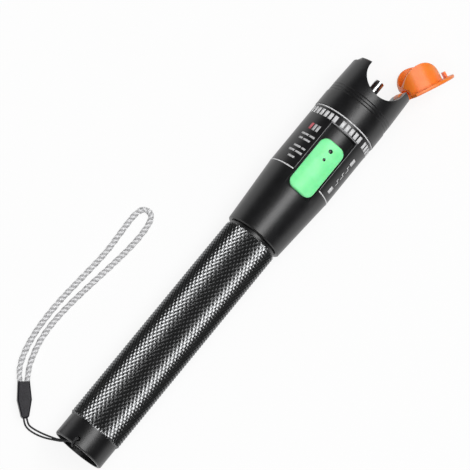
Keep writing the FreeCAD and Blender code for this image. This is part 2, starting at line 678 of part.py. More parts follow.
switch_rear = "lever_at - lever_size - 1.2"
switch_box = block("SwitchBox",
                   (switch_rear, "-switch_width / 2", "board_top"),
                   (switch_rear + " + switch_len", "switch_width / 2",
                    "board_top + switch_high"))
switch_well = block("SwitchWell",
                    ("lever_at - lever_size - 0.2", "-lever_size - 0.2",
                     "board_top + switch_high - switch_well"),
                    ("lever_at + lever_size + travel + 0.2", "lever_size + 0.2",
                     "board_top + switch_high + 1"))
keep(less("SlideSwitch", switch_box, switch_well), "slide_switch")

# ---------------------------------------------------------------- circuit board
board_blank = block("BoardBlank", ("board_rear", "-board_width / 2", "board_low"),
                    ("board_front", "board_width / 2", "board_top"))
key_notch = block("KeyNotch", ("board_rear - 1", "-rivet_dia / 2 - slip", "board_low - 1"),
                    ("board_rear + 0.4", "rivet_dia / 2 + slip", "board_top + 1"))
keep(less("CircuitBoard", board_blank, key_notch), "circuit_board")
chip_block = block("ChipBlock", ("carrier_front + 0.8", "-chip_width / 2", "board_top"),
                   ("carrier_front + 0.8 + chip_len", "chip_width / 2",
                    "board_top + chip_high"))
chip_dot = block("ChipDot", ("carrier_front + 1.2", "0.6 - chip_width / 2",
                             "board_top + chip_high - 0.2"),
                 ("carrier_front + 1.9", "1.3 - chip_width / 2", "board_top + chip_high + 1"))
keep(less("DriverChip", chip_block, chip_dot), "driver_chip")
resistors = []
for column in range(3):
    for side in (-1, 1):
        start = f"board_front - 7.5 + {column} * 2.2"
        near = f"{side} * 2.6 - 0.8"
        resistors.append(block(f"Resistor{len(resistors) + 1}", (start, near, "board_top"),
                               (start + " + 0.9", near + " + 1.6", "board_top + 0.5")))
resistor_group = keep(doc.addObject("Part::Compound", "ChipResistors"), "chip_resistors")
resistor_group.Links = resistors

# ---------------------------------------------------------------- laser barrel and port
# Brass barrel, clamped in the head's web between its flange and a ring nut.
barrel_radius = "barrel_dia / 2 - barrel_play"
barrel = keep(body("LaserBarrel"), "laser_barrel")
turned(barrel, "BarrelTurning", [
    ("barrel_rear", "diode_bore / 2"),
    ("barrel_rear", barrel_radius),
    ("web_rear - flange_thick", barrel_radius),
    ("web_rear - flange_thick", "flange_dia / 2"),
    ("web_rear", "flange_dia / 2"),
    ("web_rear", barrel_radius),
    ("barrel_front", barrel_radius),
    ("barrel_front", "lens_bore / 2"),
    ("lens_step", "lens_bore / 2"),
    ("lens_step", "can_dia / 2 + slip"),
    ("diode_face", "can_dia / 2 + slip"),
    ("diode_face", "diode_bore / 2"),
])

nut = keep(body("BarrelNut"), "barrel_nut")
turned(nut, "NutTurning", [
    ("hollow_floor", "barrel_dia / 2 + slip"),
    ("hollow_floor", "nut_dia / 2"),
    ("hollow_floor + nut_thick", "nut_dia / 2"),
    ("hollow_floor + nut_thick", "barrel_dia / 2 + slip"),
])
spanner_slot = polygon(sketch(nut, "SpannerSlotOutline"),
                       rectangle("hollow_floor + nut_thick / 2", "hollow_floor + nut_thick + 1",
                                 "-nut_slot / 2", "nut_slot / 2"))
pocket(nut, "SpannerSlots", spanner_slot)

diode = keep(body("LaserDiode"), "laser_diode")
turned(diode, "DiodeCan", [
    ("diode_face - diode_flange", "0"),
    ("diode_face - diode_flange", "diode_dia / 2"),
    ("diode_face", "diode_dia / 2"),
    ("diode_face", "can_dia / 2"),
    ("diode_face + can_len", "can_dia / 2"),
    ("diode_face + can_len", "aperture_dia / 2"),
    ("diode_face + can_len - 0.2", "aperture_dia / 2"),
    ("diode_face + can_len - 0.2", "0"),
])
legs = sketch(diode, "LegCircles", plane="YZ_Plane", raised="diode_face - diode_flange")
for across, up in ((-1, 0), (1, 0), (0, 1)):
    circle(legs, f"{across} * pin_circle / 2" if across else "0",
           f"{up} * pin_circle / 2" if up else "0", "pin_wire / 2")
leg_pad = pad(diode, "Legs", legs, "pin_len")
leg_pad.Reversed = True

retainer = keep(body("DiodeRetainer"), "diode_retainer")
turned(retainer, "RetainerTurning", [
    ("diode_face - diode_flange - retainer_len", "pin_circle / 2 + pin_wire"),
    ("diode_face - diode_flange - retainer_len", "diode_bore / 2 - slip"),
    ("diode_face - diode_flange", "diode_bore / 2 - slip"),
    ("diode_face - diode_flange", "pin_circle / 2 + pin_wire"),
])

lens_cell = keep(body("LensCell"), "lens_cell")
turned(lens_cell, "LensCellTurning", [
    ("lens_cell_rear", "lens_dia / 2 - 0.4"),
    ("lens_cell_rear", "lens_bore / 2 - slip"),
    ("lens_cell_front", "lens_bore / 2 - slip"),
    ("lens_cell_front", "lens_dia / 2 + slip"),
    ("lens_middle - lens_thick / 2", "lens_dia / 2 + slip"),
    ("lens_middle - lens_thick / 2", "lens_dia / 2 - 0.4"),
])

# A lens is what two balls have in common, trimmed to its diameter.
lens_balls = []
for name, side in (("LensRear", 1), ("LensFront", -1)):
    ball = doc.addObject("Part::Sphere", name)
    ball.setExpression("Radius", tied("lens_radius"))
    ball.setExpression("Placement.Base.x",
                       tied(f"lens_middle + {side} * (lens_radius - lens_thick / 2)"))
    lens_balls.append(ball)
lens_bulk = doc.addObject("Part::Common", "LensBulk")
lens_bulk.Base, lens_bulk.Tool = lens_balls
lens_rod = rod("LensRod", "lens_middle - lens_thick", "lens_middle + lens_thick", "lens_dia / 2")
lens = keep(doc.addObject("Part::Common", "FocusingLens"), "focusing_lens")
lens.Base, lens.Tool = lens_bulk, lens_rod

# The port: a plated tube for a 2.5 mm ferrule, screwed into the barrel.
port = keep(body("PortTube"), "port_tube")
turned(port, "PortTurning", [
    ("port_base", "aperture_dia / 2"),
    ("port_base", "lens_bore / 2 - slip"),
    ("barrel_front", "lens_bore / 2 - slip"),
    ("barrel_front", "port_dia / 2"),
    ("port_mouth - edge_bevel / 2", "port_dia / 2"),
    ("port_mouth", "port_dia / 2 - edge_bevel / 2"),
    ("port_mouth", "port_bore / 2"),
    ("port_mouth - port_bore_len", "port_bore / 2"),
    ("port_mouth - port_bore_len", "aperture_dia / 2"),
])

# ---------------------------------------------------------------- dust cap and hinge pin
# Drawn shut: a round lid over the crown's tips with a skirt whose two lobes fill the crown's
# opening, a tongue and knuckle on the hinge side and a small catch on the far side.
cap = keep(body("DustCap"), "dust_cap")
turned(cap, "LidTurning", [
    ("lobe_centre - lobe_radius", "skirt_dia / 2 - skirt_wall"),
    ("lobe_centre - lobe_radius", "skirt_dia / 2"),
    ("lid_under", "skirt_dia / 2"),
    ("lid_under", "tip_dia / 2"),
    ("lid_top - lid_round", "tip_dia / 2"),
    ("lid_top", "tip_dia / 2 - lid_round"),
    ("lid_top", "0"),
    ("lid_under", "0"),
    ("lid_under", "skirt_dia / 2 - skirt_wall"),
])

lobes = sketch(cap, "LobeOutline")
low = size("lobe_centre - lobe_radius - 1")
high = size("lobe_centre")
wide = size("skirt_dia / 2 + 1")
ring = size("lobe_radius")
lobe_corners = [Vector(high, -ring, 0), Vector(high, -wide, 0), Vector(low, -wide, 0),
                Vector(low, wide, 0), Vector(high, wide, 0), Vector(high, ring, 0)]
for i in range(5):
    lobes.addGeometry(Part.LineSegment(lobe_corners[i], lobe_corners[i + 1]), False)
lobes.addGeometry(Part.Arc(lobe_corners[5], Vector(high - ring, 0, 0), lobe_corners[0]), False)
for edge in range(6):
    lobes.addConstraint(Sketcher.Constraint("Coincident", edge, 2, (edge + 1) % 6, 1))
fix(lobes, 0, 1, "lobe_centre", "-lobe_radius")
fix(lobes, 1, 1, "lobe_centre", "-skirt_dia / 2 - 1")
fix(lobes, 2, 1, "lobe_centre - lobe_radius - 1", "-skirt_dia / 2 - 1")
fix(lobes, 3, 1, "lobe_centre - lobe_radius - 1", "skirt_dia / 2 + 1")
fix(lobes, 4, 1, "lobe_centre", "skirt_dia / 2 + 1")
fix(lobes, 4, 2, "lobe_centre", "lobe_radius")
index = lobes.addConstraint(Sketcher.Constraint("DistanceX", -1, 1, 5, 3, high))
lobes.setExpression(f"Constraints[{index}]", tied("lobe_centre"))
pocket(cap, "Lobes", lobes)

lid_trim = polygon(sketch(cap, "LidTrimOutline"),
                   rectangle("lid_under", "lid_top + 1", "-tip_dia / 2 - 1",
                             "lid_edge - hinge_offset"))
pocket(cap, "LidTrim", lid_trim)
relief = circle(sketch(cap, "ReliefCircle"), "hinge_at", "-hinge_offset", "relief_dia / 2")
pocket(cap, "HingeRelief", relief)
tongue = polygon(sketch(cap, "TongueOutline"),
                 [("hinge_at", "-hinge_offset"),
                  ("lid_top - lid_round", "-hinge_offset"),
                  ("lid_top", "lid_round - hinge_offset"),
                  ("lid_top", "lid_edge + 1 - hinge_offset"),
                  ("lid_under", "lid_edge + 1 - hinge_offset"),
                  ("hinge_at", "knuckle_dia / 2 - hinge_offset")])
pad(cap, "Tongue", tongue, "knuckle_width", symmetric=True)
knuckle = circle(sketch(cap, "KnuckleCircle"), "hinge_at", "-hinge_offset", "knuckle_dia / 2")
pad(cap, "Knuckle", knuckle, "knuckle_width", symmetric=True)
cap_bore = circle(sketch(cap, "CapBoreCircle"), "hinge_at", "-hinge_offset",
                  "hinge_pin_dia / 2 + hinge_run")
pocket(cap, "CapBore", cap_bore)
catch = polygon(sketch(cap, "CatchOutline"),
                rectangle("lid_under - catch_len", "lid_under + lid_thick / 2",
                          "catch_offset - catch_thick / 2", "catch_offset + catch_thick / 2"))
pad(cap, "Catch", catch, "catch_width", symmetric=True)

hinge_pin = keep(body("HingePin"), "hinge_pin")
pin_circle = circle(sketch(hinge_pin, "PinCircle", raised="-hinge_pin_low"), "hinge_at",
                    "-hinge_offset", "hinge_pin_dia / 2")
pad(hinge_pin, "PinBar", pin_circle, "hinge_pin_top + hinge_pin_low")

# ---------------------------------------------------------------- lanyard
# The cord and the strap lie on the floor.  Their points are measured from the spot on the
# floor under the tail's rim, with z up from the floor.
CLASP_FOOT = Vector(-2.0, 21.2, 0)

clasp = keep(body("LanyardClasp"), "lanyard_clasp", laid_out=True)
clasp_outline = polygon(sketch(clasp, "ClaspOutline"), [
    ("0", "-clasp_tail / 2"),
    ("clasp_len / 2", "-clasp_belly / 2"),
    ("clasp_len", "-clasp_head / 2"),
    ("clasp_len", "clasp_head / 2"),
    ("clasp_len / 2", "clasp_belly / 2"),
    ("0", "clasp_tail / 2"),
])
clasp_pad = pad(clasp, "ClaspPad", clasp_outline, "clasp_thick")


def is_clasp_side(edge):
    """An upright edge at the belly, which is blended, or at the cord's end."""
    ends = [vertex.Point for vertex in edge.Vertexes]
    upright = abs(ends[0].z - ends[1].z) > 1
    return upright and ends[0].x < size("clasp_len - 1")


def is_clasp_rim(edge):
    ends = [vertex.Point for vertex in edge.Vertexes]
    level = abs(ends[0].z - ends[1].z) < 0.01
    return level and min(end.x for end in ends) < size("clasp_len - 0.1")


clasp_sides = rounded(clasp, "ClaspSides", clasp_pad, edges_of(clasp_pad, is_clasp_side),
                      "clasp_tail / 2 - 0.1")
rounded(clasp, "ClaspEdges", clasp_sides, edges_of(clasp_sides, is_clasp_rim), "clasp_round")

LACE_ROUTE = [
    (-1.25, 22.61, 1.9), (-3.6, 20.3, 1.4), (-4.1, 17.6, 0.5), (-3.6, 14.2, 0.7),
    (-2.7, 11.2, 2.1), (-1.5, 8.4, 4.6), (-0.5, 6.0, 7.8), (1.7, 4.2, 12.0),
    (2.6, 2.5, 16.6), (2.3, 3.6, 21.0), (-0.95, 3.5, 20.9), (-1.0, 2.5, 17.7),
    (0.9, 3.2, 13.4), (0.5, 5.2, 9.2), (-0.7, 7.4, 5.6), (-1.4, 10.4, 2.8),
    (-2.2, 13.6, 1.1), (-2.8, 17.0, 0.5), (-2.8, 19.4, 1.2), (-0.51, 21.79, 1.9),
]
STRAP_ROUTE = [
    (5.85, 29.62, 1.7), (9.0, 33.4, 1.3), (15.6, 36.3, 1.2), (24.5, 38.0, 1.2),
    (36.0, 38.5, 1.2), (49.0, 37.6, 1.2), (62.0, 36.6, 1.2), (72.0, 37.2, 1.2),
    (79.5, 37.6, 1.2), (83.7, 36.5, 1.2), (84.0, 32.7, 1.2), (80.0, 31.2, 1.2),
    (72.5, 30.9, 1.2), (62.0, 31.9, 1.2), (49.0, 33.7, 1.2), (36.0, 35.2, 1.2),
    (24.5, 35.1, 1.2), (15.8, 32.9, 1.2), (11.0, 30.6, 1.3), (7.31, 27.98, 1.7),
]


def cord_path(route, label):
    """Straight runs joined by tangent arcs, as large as the two runs at each point allow."""
    points = [Vector(*spot) for spot in route]
    edges = []
    start = points[0]
    radii = []
    for before, corner, after in zip(points, points[1:], points[2:]):
        back = before - corner
        ahead = after - corner
        turn = math.pi - back.getAngle(ahead)
        reach = 0.45 * min(back.Length, ahead.Length)
        radius = reach / math.tan(turn / 2)
        radii.append(radius)
        into = corner + back.normalize() * reach
        out = corner + ahead.normalize() * reach
        inward = (back + ahead).normalize()
        middle = corner + inward * (radius / math.cos(turn / 2) - radius)
        edges.append(Part.LineSegment(start, into).toShape())
        edges.append(Part.Arc(into, middle, out).toShape())
        start = out
    edges.append(Part.LineSegment(start, points[-1]).toShape())
    print(label, "bend radii:", " ".join(f"{radius:.1f}" for radius in radii))
    return Part.Wire(edges)


def add_cord(name, label, route, diameter):
    """A round cord swept along its route, and a check of its volume."""
    path = cord_path(route, label)
    first = path.Edges[0]
    ring_edge = Part.makeCircle(diameter / 2, first.valueAt(first.FirstParameter),
                                first.tangentAt(first.FirstParameter))
    shape = path.makePipeShell([Part.Wire([ring_edge])], True, True)
    expected = math.pi * diameter ** 2 / 4 * path.Length
    print(label, f"length {path.Length:.1f} volume {shape.Volume:.2f} of {expected:.2f}")
    if abs(shape.Volume - expected) > 0.02 * expected:
        raise SystemExit(label + " has the wrong volume")
    cord = keep(doc.addObject("Part::Feature", name), label, laid_out=True)
    cord.Shape = shape


add_cord("LanyardCord", "lanyard_cord", LACE_ROUTE, size("lace_dia"))
add_cord("WristStrap", "wrist_strap", STRAP_ROUTE, size("strap_dia"))

doc.recompute()

# ---------------------------------------------------------------- lay the pen on the floor
# The cap is swung open round its pin first.
hinge_spot = Vector(size("hinge_at"), -size("hinge_offset"), 0)
swing = Placement(Vector(), Rotation(Vector(0, 0, 1), -size("cap_open")), hinge_spot)
cap.Placement = swing

# The pen's nose is up because its head is thicker than the end of its handle: it lies on
# one corner behind its middle and one in front of it, whichever two touch first.
rear_corners = [(size("edge_bevel"), size("tail_dia / 2")),
                (size("tail_len + edge_bevel"), size("handle_dia / 2"))]
front_corners = [(size("head_rear + edge_bevel"), size("cone_dia / 2")),
                 (size("band_at"), size("band_dia / 2")),
                 (size("bead_at"), size("bead_dia / 2"))]


def nose_up(heel):
    """The pen's slope when it stands on a rear corner and one of the front corners."""
    return max(math.atan((radius - heel[1]) / (spot - heel[0]))
               for spot, radius in front_corners)


heel = min(rear_corners, key=nose_up)
pitch = nose_up(heel)
floor_level = heel[0] * math.sin(pitch) - heel[1] * math.cos(pitch)


def above_floor(spot, roll):
    """Height over the floor of a spot on the pen, rolled towards its cap by roll."""
    upright = spot.y * math.sin(roll) + spot.z * math.cos(roll)
    return spot.x * math.sin(pitch) + upright * math.cos(pitch) - floor_level


rim_spots = []
for step in range(360):
    around = math.radians(step)
    across = Vector(0, math.cos(around), math.sin(around)) * size("tip_dia / 2")
    rim_spots.append(swing.multVec(across + Vector(size("lid_top - lid_round"), 0, 0)))
    rim_spots.append(swing.multVec(across + Vector(size("lid_under"), 0, 0)))
kept_rim = [spot for spot in rim_spots if spot.x > size("tips")]
low_roll, high_roll = 0.0, math.radians(25)
for halving in range(40):
    roll = (low_roll + high_roll) / 2
    if min(above_floor(spot, roll) for spot in kept_rim) > 0:
        low_roll = roll
    else:
        high_roll = roll
print(f"rests nose up by {math.degrees(pitch):.3f} and rolled by {math.degrees(roll):.3f} degrees")

tilt = Rotation(Vector(0, 1, 0), -math.degrees(pitch)) * Rotation(Vector(1, 0, 0),
                                                                 math.degrees(roll))
lay = Placement(Vector(0, 0, -floor_level), tilt)

def place_pen(placement):
    """Put every piece of the pen in its place; the cap is also swung open."""
    for piece in pen_pieces:
        piece.Placement = placement.multiply(swing) if piece is cap else placement


place_pen(lay)
doc.recompute()
extent = FreeCAD.BoundBox()
for piece in pen_pieces:
    extent.add(piece.Shape.optimalBoundingBox(False))
clasp.Placement = Placement(CLASP_FOOT, Rotation(Vector(0, 0, 1), size("clasp_turn")))
home = Placement(Vector(-extent.Center.x, -extent.Center.y, 0), Rotation())
place_pen(home.multiply(lay))
for piece in floor_pieces:
    piece.Placement = home.multiply(piece.Placement)
doc.recompute()
print(f"rim of the tail at {home.Base.x:.4f} {home.Base.y:.4f} {-floor_level:.4f}")

# ---------------------------------------------------------------- check and hand over
for item in doc.Objects:
    if "Invalid" in item.State or "Error" in item.State:
        raise SystemExit(f"{item.Name} failed: {item.State}")
lowest = 1.0
for piece in pen_pieces + floor_pieces:
    shape = piece.Shape
    if shape.isNull() or not shape.isValid():
        raise SystemExit(piece.Label + " is not a valid shape")
    lowest = min(lowest, shape.optimalBoundingBox(False).ZMin)
    print(f"{piece.Label:18s} solids {len(shape.Solids)} volume {shape.Volume:10.2f}")
    shape.exportStep(f"parts/{piece.Label}.step")
print(f"lowest point {lowest:.4f}")
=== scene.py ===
import json
import math
import bmesh
import bpy
import numpy as np
from mathutils import Matrix, Vector


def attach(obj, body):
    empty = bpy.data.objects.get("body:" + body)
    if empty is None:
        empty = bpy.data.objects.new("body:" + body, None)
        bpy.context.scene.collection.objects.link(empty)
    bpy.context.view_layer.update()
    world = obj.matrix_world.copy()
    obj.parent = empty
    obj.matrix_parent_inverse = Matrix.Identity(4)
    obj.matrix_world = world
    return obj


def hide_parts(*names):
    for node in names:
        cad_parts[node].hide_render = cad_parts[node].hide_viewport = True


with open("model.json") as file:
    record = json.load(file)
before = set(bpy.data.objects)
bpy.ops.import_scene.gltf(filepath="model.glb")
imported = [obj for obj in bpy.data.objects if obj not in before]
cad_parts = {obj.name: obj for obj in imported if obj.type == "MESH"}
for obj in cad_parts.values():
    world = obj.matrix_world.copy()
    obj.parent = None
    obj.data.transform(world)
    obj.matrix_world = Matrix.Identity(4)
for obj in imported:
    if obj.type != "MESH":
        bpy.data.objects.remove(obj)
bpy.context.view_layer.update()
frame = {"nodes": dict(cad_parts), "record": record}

# ------------------------------------------------------------------ the table and the light
# The pen lies on a white table under one long soft lamp that hangs askew above it and a small
# one beyond its head, in a room that is white to the eye and darker in reflections.
PORT_FROM_TAIL = 0.1665
record = frame["record"]
port_mount = next(mount for mount in record["mounts"] if mount["name"] == "ferrule_port")
hinge_joint = next(joint for joint in record["behaviour"]["joints"]
                   if joint["name"] == "cap_hinge")

# The pen's own directions: along it from the tail, as its port is bored; up through the
# button, as its cap's hinge stands; and across it towards the lanyard.
ALONG = np.array(port_mount["axis"], float)
UP = np.array(hinge_joint["axis"], float)
ACROSS = np.cross(UP, ALONG)
TAIL = np.array(port_mount["pos_m"], float) - PORT_FROM_TAIL * ALONG
FOOT = np.array([TAIL[0], TAIL[1], 0.0])


def on_pen(along, across, up):
    """Pen millimetres to room metres: the tail's middle plus each distance along its axis."""
    along, across, up = np.broadcast_arrays(along, across, up)
    shift = along[..., None] * ALONG + across[..., None] * ACROSS + up[..., None] * UP
    return TAIL + shift / 1000


def placed(name, data):
    """A new object of the scene with the data in it."""
    made = bpy.data.objects.new(name, data)
    bpy.context.collection.objects.link(made)
    return made


def aimed(made, right, top, back, spot):
    """Puts an object at a spot with its own x, y and z axes along three directions."""
    rows = [(*axes, where) for *axes, where in zip(right, top, back, spot)]
    made.matrix_world = Matrix(rows + [(0, 0, 0, 1)])


# The camera looks down at the pen through a long lens.
eye = FOOT + np.array([-0.1389, 0.0392, 1.0536])
right_hand = Vector((0.6196, -0.7676, 0.1641)).normalized()
overhead = Vector((0.7537, 0.6401, 0.1486)).normalized()
camera_data = bpy.data.cameras.new("Camera")
camera_data.sensor_width = 36
camera_data.lens = 229.8
camera_data.clip_start = 0.01
camera = placed("Camera", camera_data)
aimed(camera, right_hand, overhead, right_hand.cross(overhead), eye)
bpy.context.scene.camera = camera
bpy.context.scene.view_settings.view_transform = "Standard"


def lamp(name, place, aim, lengthwise, size, power):
    """A soft lamp that looks from its place to its aim, with its long side along a direction.

    Places are in metres from the spot on the table under the tail's rim."""
    data = bpy.data.lights.new(name, "AREA")
    data.shape = "RECTANGLE"
    data.size, data.size_y = size
    data.energy = power
    back = (Vector(place) - Vector(aim)).normalized()
    side = Vector(lengthwise).cross(back).normalized()
    aimed(placed(name, data), side, back.cross(side), back, FOOT + np.array(place))


lamp("LampAbove", place=(0.06, -0.08, 1.35), aim=(0.09, 0.0, 0.0),
     lengthwise=(0.936, -0.352, 0), size=(0.6, 1.8), power=17.0)
lamp("LampBeyond", place=(1.29, 0.15, 1.2), aim=(0.09, 0.0, 0.0),
     lengthwise=(0, 1, 0), size=(0.5, 0.5), power=2.9)


def either_ray(tree, first, second):
    """One for rays of two kinds and zero for all others."""
    paths = tree.nodes.new("ShaderNodeLightPath")
    either = tree.nodes.new("ShaderNodeMath")
    either.operation = "MAXIMUM"
    tree.links.new(paths.outputs[first], either.inputs[0])
    tree.links.new(paths.outputs[second], either.inputs[1])
    return either.outputs[0]


# The room shows at full strength to the eye, at a quarter of it on matt surfaces, and in
# reflections brightest at the horizon and nearly dark overhead.
room = bpy.data.worlds.new("WhiteRoom")
room.use_nodes = True
bpy.context.scene.world = room
nodes, links = room.node_tree.nodes, room.node_tree.links
heading = nodes.new("ShaderNodeTexCoord")
height = nodes.new("ShaderNodeSeparateXYZ")
links.new(heading.outputs["Generated"], height.inputs[0])
ceiling = nodes.new("ShaderNodeMapRange")
ceiling.interpolation_type = "SMOOTHSTEP"
ceiling.inputs["From Min"].default_value = 0.0
ceiling.inputs["From Max"].default_value = 0.3
ceiling.inputs["To Min"].default_value = 0.6
ceiling.inputs["To Max"].default_value = 0.05
links.new(height.outputs["Z"], ceiling.inputs["Value"])
paths = nodes.new("ShaderNodeLightPath")
unseen = nodes.new("ShaderNodeMix")
unseen.inputs["A"].default_value = 0.25
links.new(paths.outputs["Is Glossy Ray"], unseen.inputs["Factor"])
links.new(ceiling.outputs[0], unseen.inputs["B"])
strength = nodes.new("ShaderNodeMix")
strength.inputs["B"].default_value = 1.0
links.new(either_ray(room.node_tree, "Is Camera Ray", "Is Transmission Ray"),
          strength.inputs["Factor"])
links.new(unseen.outputs[0], strength.inputs["A"])
links.new(strength.outputs[0], nodes["Background"].inputs["Strength"])
nodes["Background"].inputs["Color"].default_value = (1, 1, 1, 1)


def shader(name, roughness, metallic=0.0, **sockets):
    """A Principled material; the keyword sockets are set by their names in small letters."""
    made = bpy.data.materials.new(name)
    made.use_nodes = True
    surface = made.node_tree.nodes["Principled BSDF"]
    surface.inputs["Roughness"].default_value = roughness
    surface.inputs["Metallic"].default_value = metallic
    for key, value in sockets.items():
        socket = next(item for item in surface.inputs
                      if item.name.lower().replace(" ", "_") == key)
        socket.default_value = value
    return made, made.node_tree, surface


# The table is matt white, and to the eye and in reflections it is mostly an even glow.
TABLE_WHITE, TABLE_GLOW, TABLE_HALF = 0.86, 0.86, 4
table_mesh = bpy.data.meshes.new("Table")
table_mesh.from_pydata([(-TABLE_HALF, -TABLE_HALF, 0), (TABLE_HALF, -TABLE_HALF, 0),
                        (TABLE_HALF, TABLE_HALF, 0), (-TABLE_HALF, TABLE_HALF, 0)],
                       [], [(0, 1, 2, 3)])
table = placed("Table", table_mesh)
table_white, tree, surface = shader("TableWhite", 0.9,
                                    base_color=(TABLE_WHITE, TABLE_WHITE, TABLE_WHITE, 1))
share = tree.nodes.new("ShaderNodeMath")
share.operation = "MULTIPLY"
share.inputs[1].default_value = TABLE_GLOW
tree.links.new(either_ray(tree, "Is Camera Ray", "Is Glossy Ray"), share.inputs[0])
glow = tree.nodes.new("ShaderNodeEmission")
glow.inputs["Strength"].default_value = 1.0
blend = tree.nodes.new("ShaderNodeMixShader")
tree.links.new(share.outputs[0], blend.inputs["Fac"])
tree.links.new(surface.outputs[0], blend.inputs[1])
tree.links.new(glow.outputs[0], blend.inputs[2])
tree.links.new(blend.outputs[0], tree.nodes["Material Output"].inputs["Surface"])
table_mesh.materials.append(table_white)

# ------------------------------------------------------------------ lanyard cord
# A thin black braided cord, looped through the hole in the tail's wall and over its rim, with
# both ends pressed into the clasp.
LACE = [
    (-1.25, 22.61, 1.9), (-3.6, 20.3, 1.4), (-4.1, 17.6, 0.5), (-3.6, 14.2, 0.7),
    (-2.7, 11.2, 2.1), (-1.5, 8.4, 4.8), (-0.5, 6.0, 7.8), (1.7, 4.2, 12.0),
    (2.6, 2.5, 16.6), (2.3, 3.6, 21.0), (-0.95, 3.5, 20.9), (-1.0, 2.5, 17.7),
    (1.0, 3.3, 13.2), (0.5, 5.2, 9.2), (-0.7, 7.5, 5.8), (-1.4, 10.4, 2.8),
    (-2.2, 13.6, 1.1), (-2.8, 17.0, 0.5), (-2.8, 19.4, 1.2), (-0.51, 21.79, 1.9),
]


def traced(name, route, step):
    """Points a fixed step apart on the smooth NURBS line of a route, and their distances.

    The route is in millimetres from the spot on the table under the tail's rim."""
    data = bpy.data.curves.new(name, "CURVE")
    data.dimensions = "3D"
    line = data.splines.new("NURBS")
    line.points.add(len(route) - 1)
    spots = FOOT + np.array(route) / 1000
    line.points.foreach_set("co", np.column_stack([spots, np.ones(len(spots))]).ravel())
    line.order_u = 3
    line.use_endpoint_u = True
    line.resolution_u = 24
    guide = bpy.data.objects.new(name, data)
    mesh = bpy.data.meshes.new_from_object(guide)
    points = np.empty(len(mesh.vertices) * 3)
    mesh.vertices.foreach_get("co", points)
    points = points.reshape(-1, 3)
    bpy.data.meshes.remove(mesh)
    bpy.data.objects.remove(guide)
    bpy.data.curves.remove(data)
    run = np.concatenate([[0], np.cumsum(np.linalg.norm(np.diff(points, axis=0), axis=1))])
    marks = np.linspace(0, run[-1], int(run[-1] / step) + 1)
    return np.column_stack([np.interp(marks, run, points[:, k]) for k in range(3)]), marks


def untwisted(path):
    """Two directions square to a path at each point, carried along it without a twist."""
    ahead = np.gradient(path, axis=0)
    ahead /= np.linalg.norm(ahead, axis=1)[:, None]
    side = np.empty_like(ahead)
    carried = np.cross(ahead[0], (0.0, 0.0, 1.0))
    for place, heading in enumerate(ahead):
        carried = carried - heading * (carried @ heading)
        carried = carried / np.linalg.norm(carried)
        side[place] = carried
    return side, np.cross(side, ahead)


def skin(name, spots, around=True, ends=False, triangles=None):
    """A mesh on a grid of points: each row joins the next, and each column the next.

    around closes every row into a ring; ends fills the first and the last ring; triangles
    makes the faces out of the grid's quads."""
    rows, columns = spots.shape[:2]
    index = np.arange(rows * columns).reshape(rows, columns)
    after = np.roll(index, -1, axis=1) if around else index[:, 1:]
    before = index if around else index[:, :-1]
    quads = np.stack([before[:-1], after[:-1], after[1:], before[1:]], axis=-1).reshape(-1, 4)
    faces = triangles(rows, columns) if triangles else quads.tolist()
    if ends:
        faces.append(index[0, ::-1].tolist())
        faces.append(index[-1].tolist())
    mesh = bpy.data.meshes.new(name)
    mesh.from_pydata(spots.reshape(-1, 3).tolist(), [], faces)
    mesh.polygons.foreach_set("use_smooth", [True] * len(mesh.polygons))
    return mesh


def faced_out(mesh, fill=False):
    """Turns a mesh's faces outward; fill closes its open rims first."""
    joiner = bmesh.new()
    joiner.from_mesh(mesh)
    if fill:
        bmesh.ops.holes_fill(joiner, edges=[edge for edge in joiner.edges if edge.is_boundary])
    bmesh.ops.recalc_face_normals(joiner, faces=joiner.faces)
    joiner.to_mesh(mesh)
    joiner.free()


def plaited(path, run, radius=0.35, dent=0.035, lay=2.4, around=16):
    """A plaited cord: its radius is full along two crossing sets of four helices.

    Between them it falls by the dent times the product of the two sets' sines."""
    side, top = untwisted(path)
    angle = 2 * math.pi * np.arange(around) / around
    phase = 2 * math.pi * run[:, None] * 1000 / lay
    fall = np.abs(np.sin(2 * angle + phase) * np.sin(2 * angle - phase))
    reach = (radius - dent * fall)[:, :, None] / 1000
    return (path[:, None, :] + reach * np.cos(angle)[None, :, None] * side[:, None, :]
            + reach * np.sin(angle)[None, :, None] * top[:, None, :])


def noise(tree, scale, detail):
    """Noise on the object's own coordinates."""
    place = tree.nodes.new("ShaderNodeTexCoord")
    made = tree.nodes.new("ShaderNodeTexNoise")
    made.inputs["Scale"].default_value = scale
    made.inputs["Detail"].default_value = detail
    tree.links.new(place.outputs["Object"], made.inputs["Vector"])
    return made.outputs["Fac"]


def grain(tree, surface, scale, strength, distance):
    """A fine bump from noise, its distance in metres."""
    bump = tree.nodes.new("ShaderNodeBump")
    bump.inputs["Strength"].default_value = strength
    bump.inputs["Distance"].default_value = distance
    tree.links.new(noise(tree, scale, 2.0), bump.inputs["Height"])
    tree.links.new(bump.outputs["Normal"], surface.inputs["Normal"])


def mottled(name, roughness, scale, dark, light, detail=3.0, bump=None, **sockets):
    """A material whose colour wanders by noise from dark to light, with a bump if asked."""
    made, tree, surface = shader(name, roughness, **sockets)
    ramp = tree.nodes.new("ShaderNodeValToRGB")
    for element, place, colour in zip(ramp.color_ramp.elements, (0.3, 0.7), (dark, light)):
        element.position = place
        element.color = (*colour, 1)
    tree.links.new(noise(tree, scale, detail), ramp.inputs["Fac"])
    tree.links.new(ramp.outputs["Color"], surface.inputs["Base Color"])
    if bump:
        grain(tree, surface, **bump)
    return made


